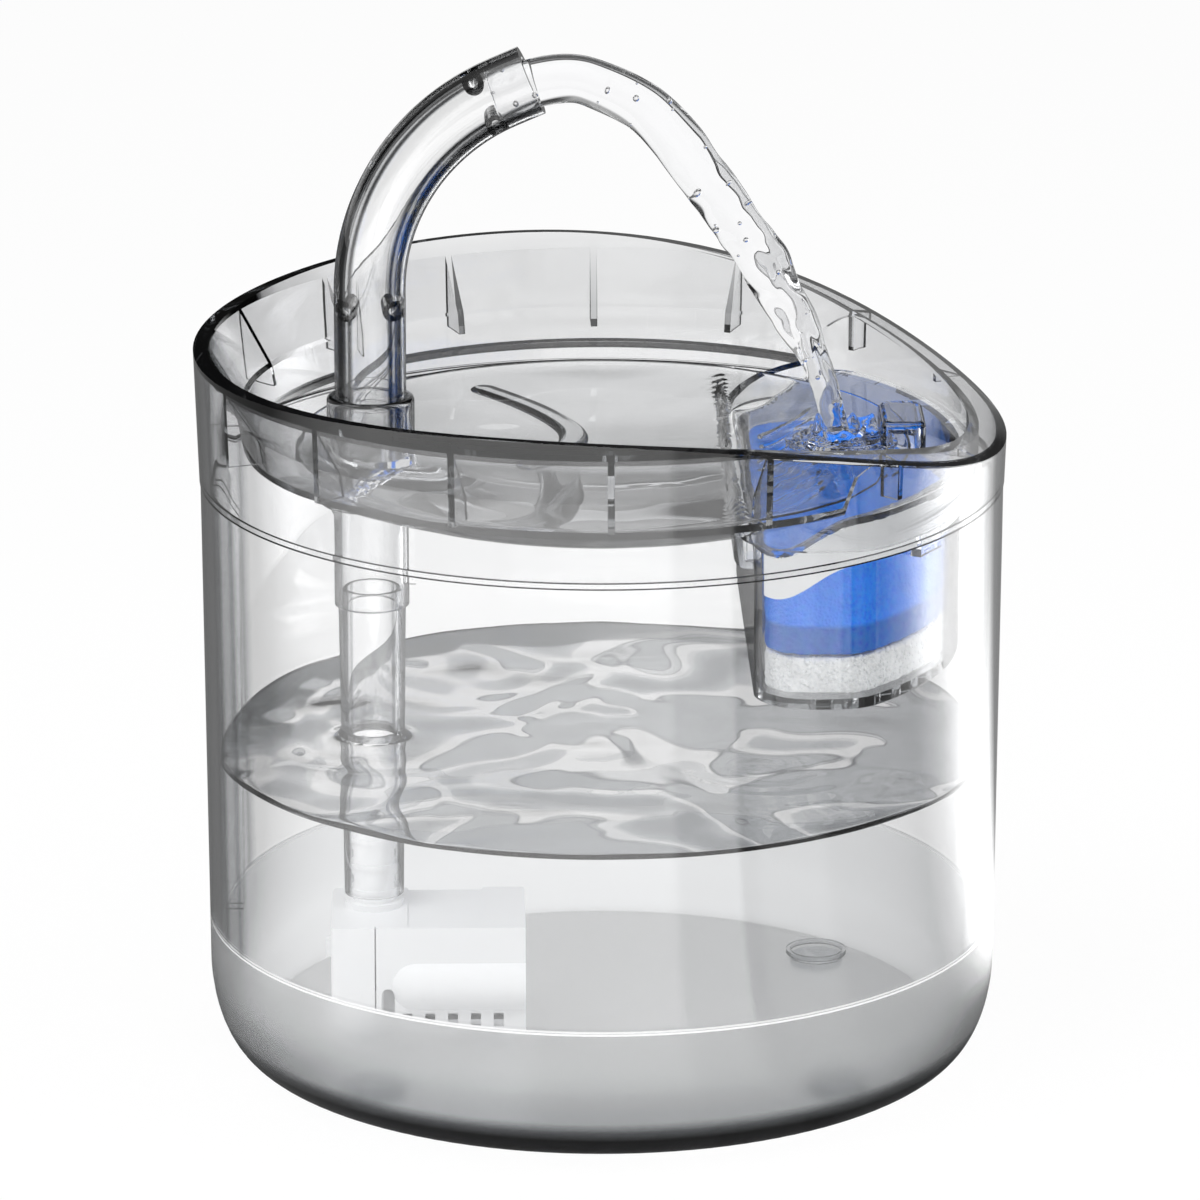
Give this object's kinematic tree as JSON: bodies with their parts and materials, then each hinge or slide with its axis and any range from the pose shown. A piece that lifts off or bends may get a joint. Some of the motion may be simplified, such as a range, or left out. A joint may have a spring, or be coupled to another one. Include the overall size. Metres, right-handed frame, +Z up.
{
  "type": "pet water fountain",
  "caption": "Clear round tank with a lift-off drinking tray, curved faucet, riser tube, submersible pump and a side filter cup with sponge and cotton.",
  "frame": {"origin": "on the tank's vertical axis at the level its feet stand on", "axes": "+Z up, -X towards the faucet, +X towards the filter and the low side of the rim"},
  "size_m": [0.1803, 0.1811, 0.2309],
  "materials": {
    "clear_plastic": "water-clear moulded plastic, frosted below the line on the tank",
    "foot_rubber": "translucent silicone",
    "blue_foam": "open-cell blue filter sponge",
    "white_cotton": "matted white filter cotton",
    "white_abs": "fine matte white",
    "dark_foam": "open-cell sponge",
    "bush_plastic": "plain bearing plastic",
    "ceramic": "ground ceramic",
    "ferrite": "sintered ferrite",
    "lamination_steel": "stacked sheet steel",
    "copper_wire": "enamelled copper",
    "circuit_board": "glass-epoxy board",
    "epoxy": "potting resin",
    "black_rubber": "soft black rubber"
  },
  "bodies": {
    "base": {"tank": "clear_plastic", "tank_feet": "foot_rubber", "pump_housing": "white_abs", "pump_end_cap": "white_abs", "outlet_nozzle": "white_abs", "intake_cover": "white_abs", "volute_plate": "white_abs", "shaft_bush_front": "bush_plastic", "shaft_bush_rear": "bush_plastic", "rotor_shaft": "ceramic", "stator_core": "lamination_steel", "stator_coils": "copper_wire", "driver_board": "circuit_board", "potting_seal": "epoxy", "suction_cups": "foot_rubber", "cable_gland": "black_rubber"},
    "tray": {"drinking_tray": "clear_plastic", "riser_tube": "clear_plastic"},
    "faucet": {"faucet_front_half": "clear_plastic", "faucet_rear_half": "clear_plastic", "flow_ring": "clear_plastic"},
    "filter": {"filter_cup": "clear_plastic", "filter_sponge": "blue_foam", "filter_cotton": "white_cotton"},
    "filter_lid": {"filter_cover": "clear_plastic"},
    "strainer": {"strainer_cover": "white_abs", "prefilter_sponge": "dark_foam"},
    "adjuster": {"flow_adjuster": "white_abs"},
    "rotor": {"impeller": "white_abs", "rotor_magnet": "ferrite"}
  },
  "joints": [
    {"name": "tray_lift", "type": "slide", "parent": "base", "child": "tray", "axis": [0, 0, 1], "range_m": [0, 0.11]},
    {"name": "faucet_lift", "type": "slide", "parent": "tray", "child": "faucet", "axis": [0, 0, 1], "range_m": [0, 0.03]},
    {"name": "filter_cup_lift", "type": "slide", "parent": "tray", "child": "filter", "axis": [0, 0, 1], "range_m": [0, 0.05]},
    {"name": "filter_cover_lift", "type": "slide", "parent": "filter", "child": "filter_lid", "axis": [0, 0, 1], "range_m": [0, 0.03]},
    {"name": "strainer_pull", "type": "slide", "parent": "base", "child": "strainer", "axis": [0, -1, 0], "range_m": [0, 0.02]},
    {"name": "flow_adjust", "type": "slide", "parent": "base", "child": "adjuster", "axis": [0, 1, 0], "range_m": [0, 0.004]},
    {"name": "impeller_spin", "type": "hinge", "parent": "base", "child": "rotor", "pos_m": [-0.0513, -0.0016, 0.0212], "axis": [1, 0, 0], "continuous": true}
  ]
}
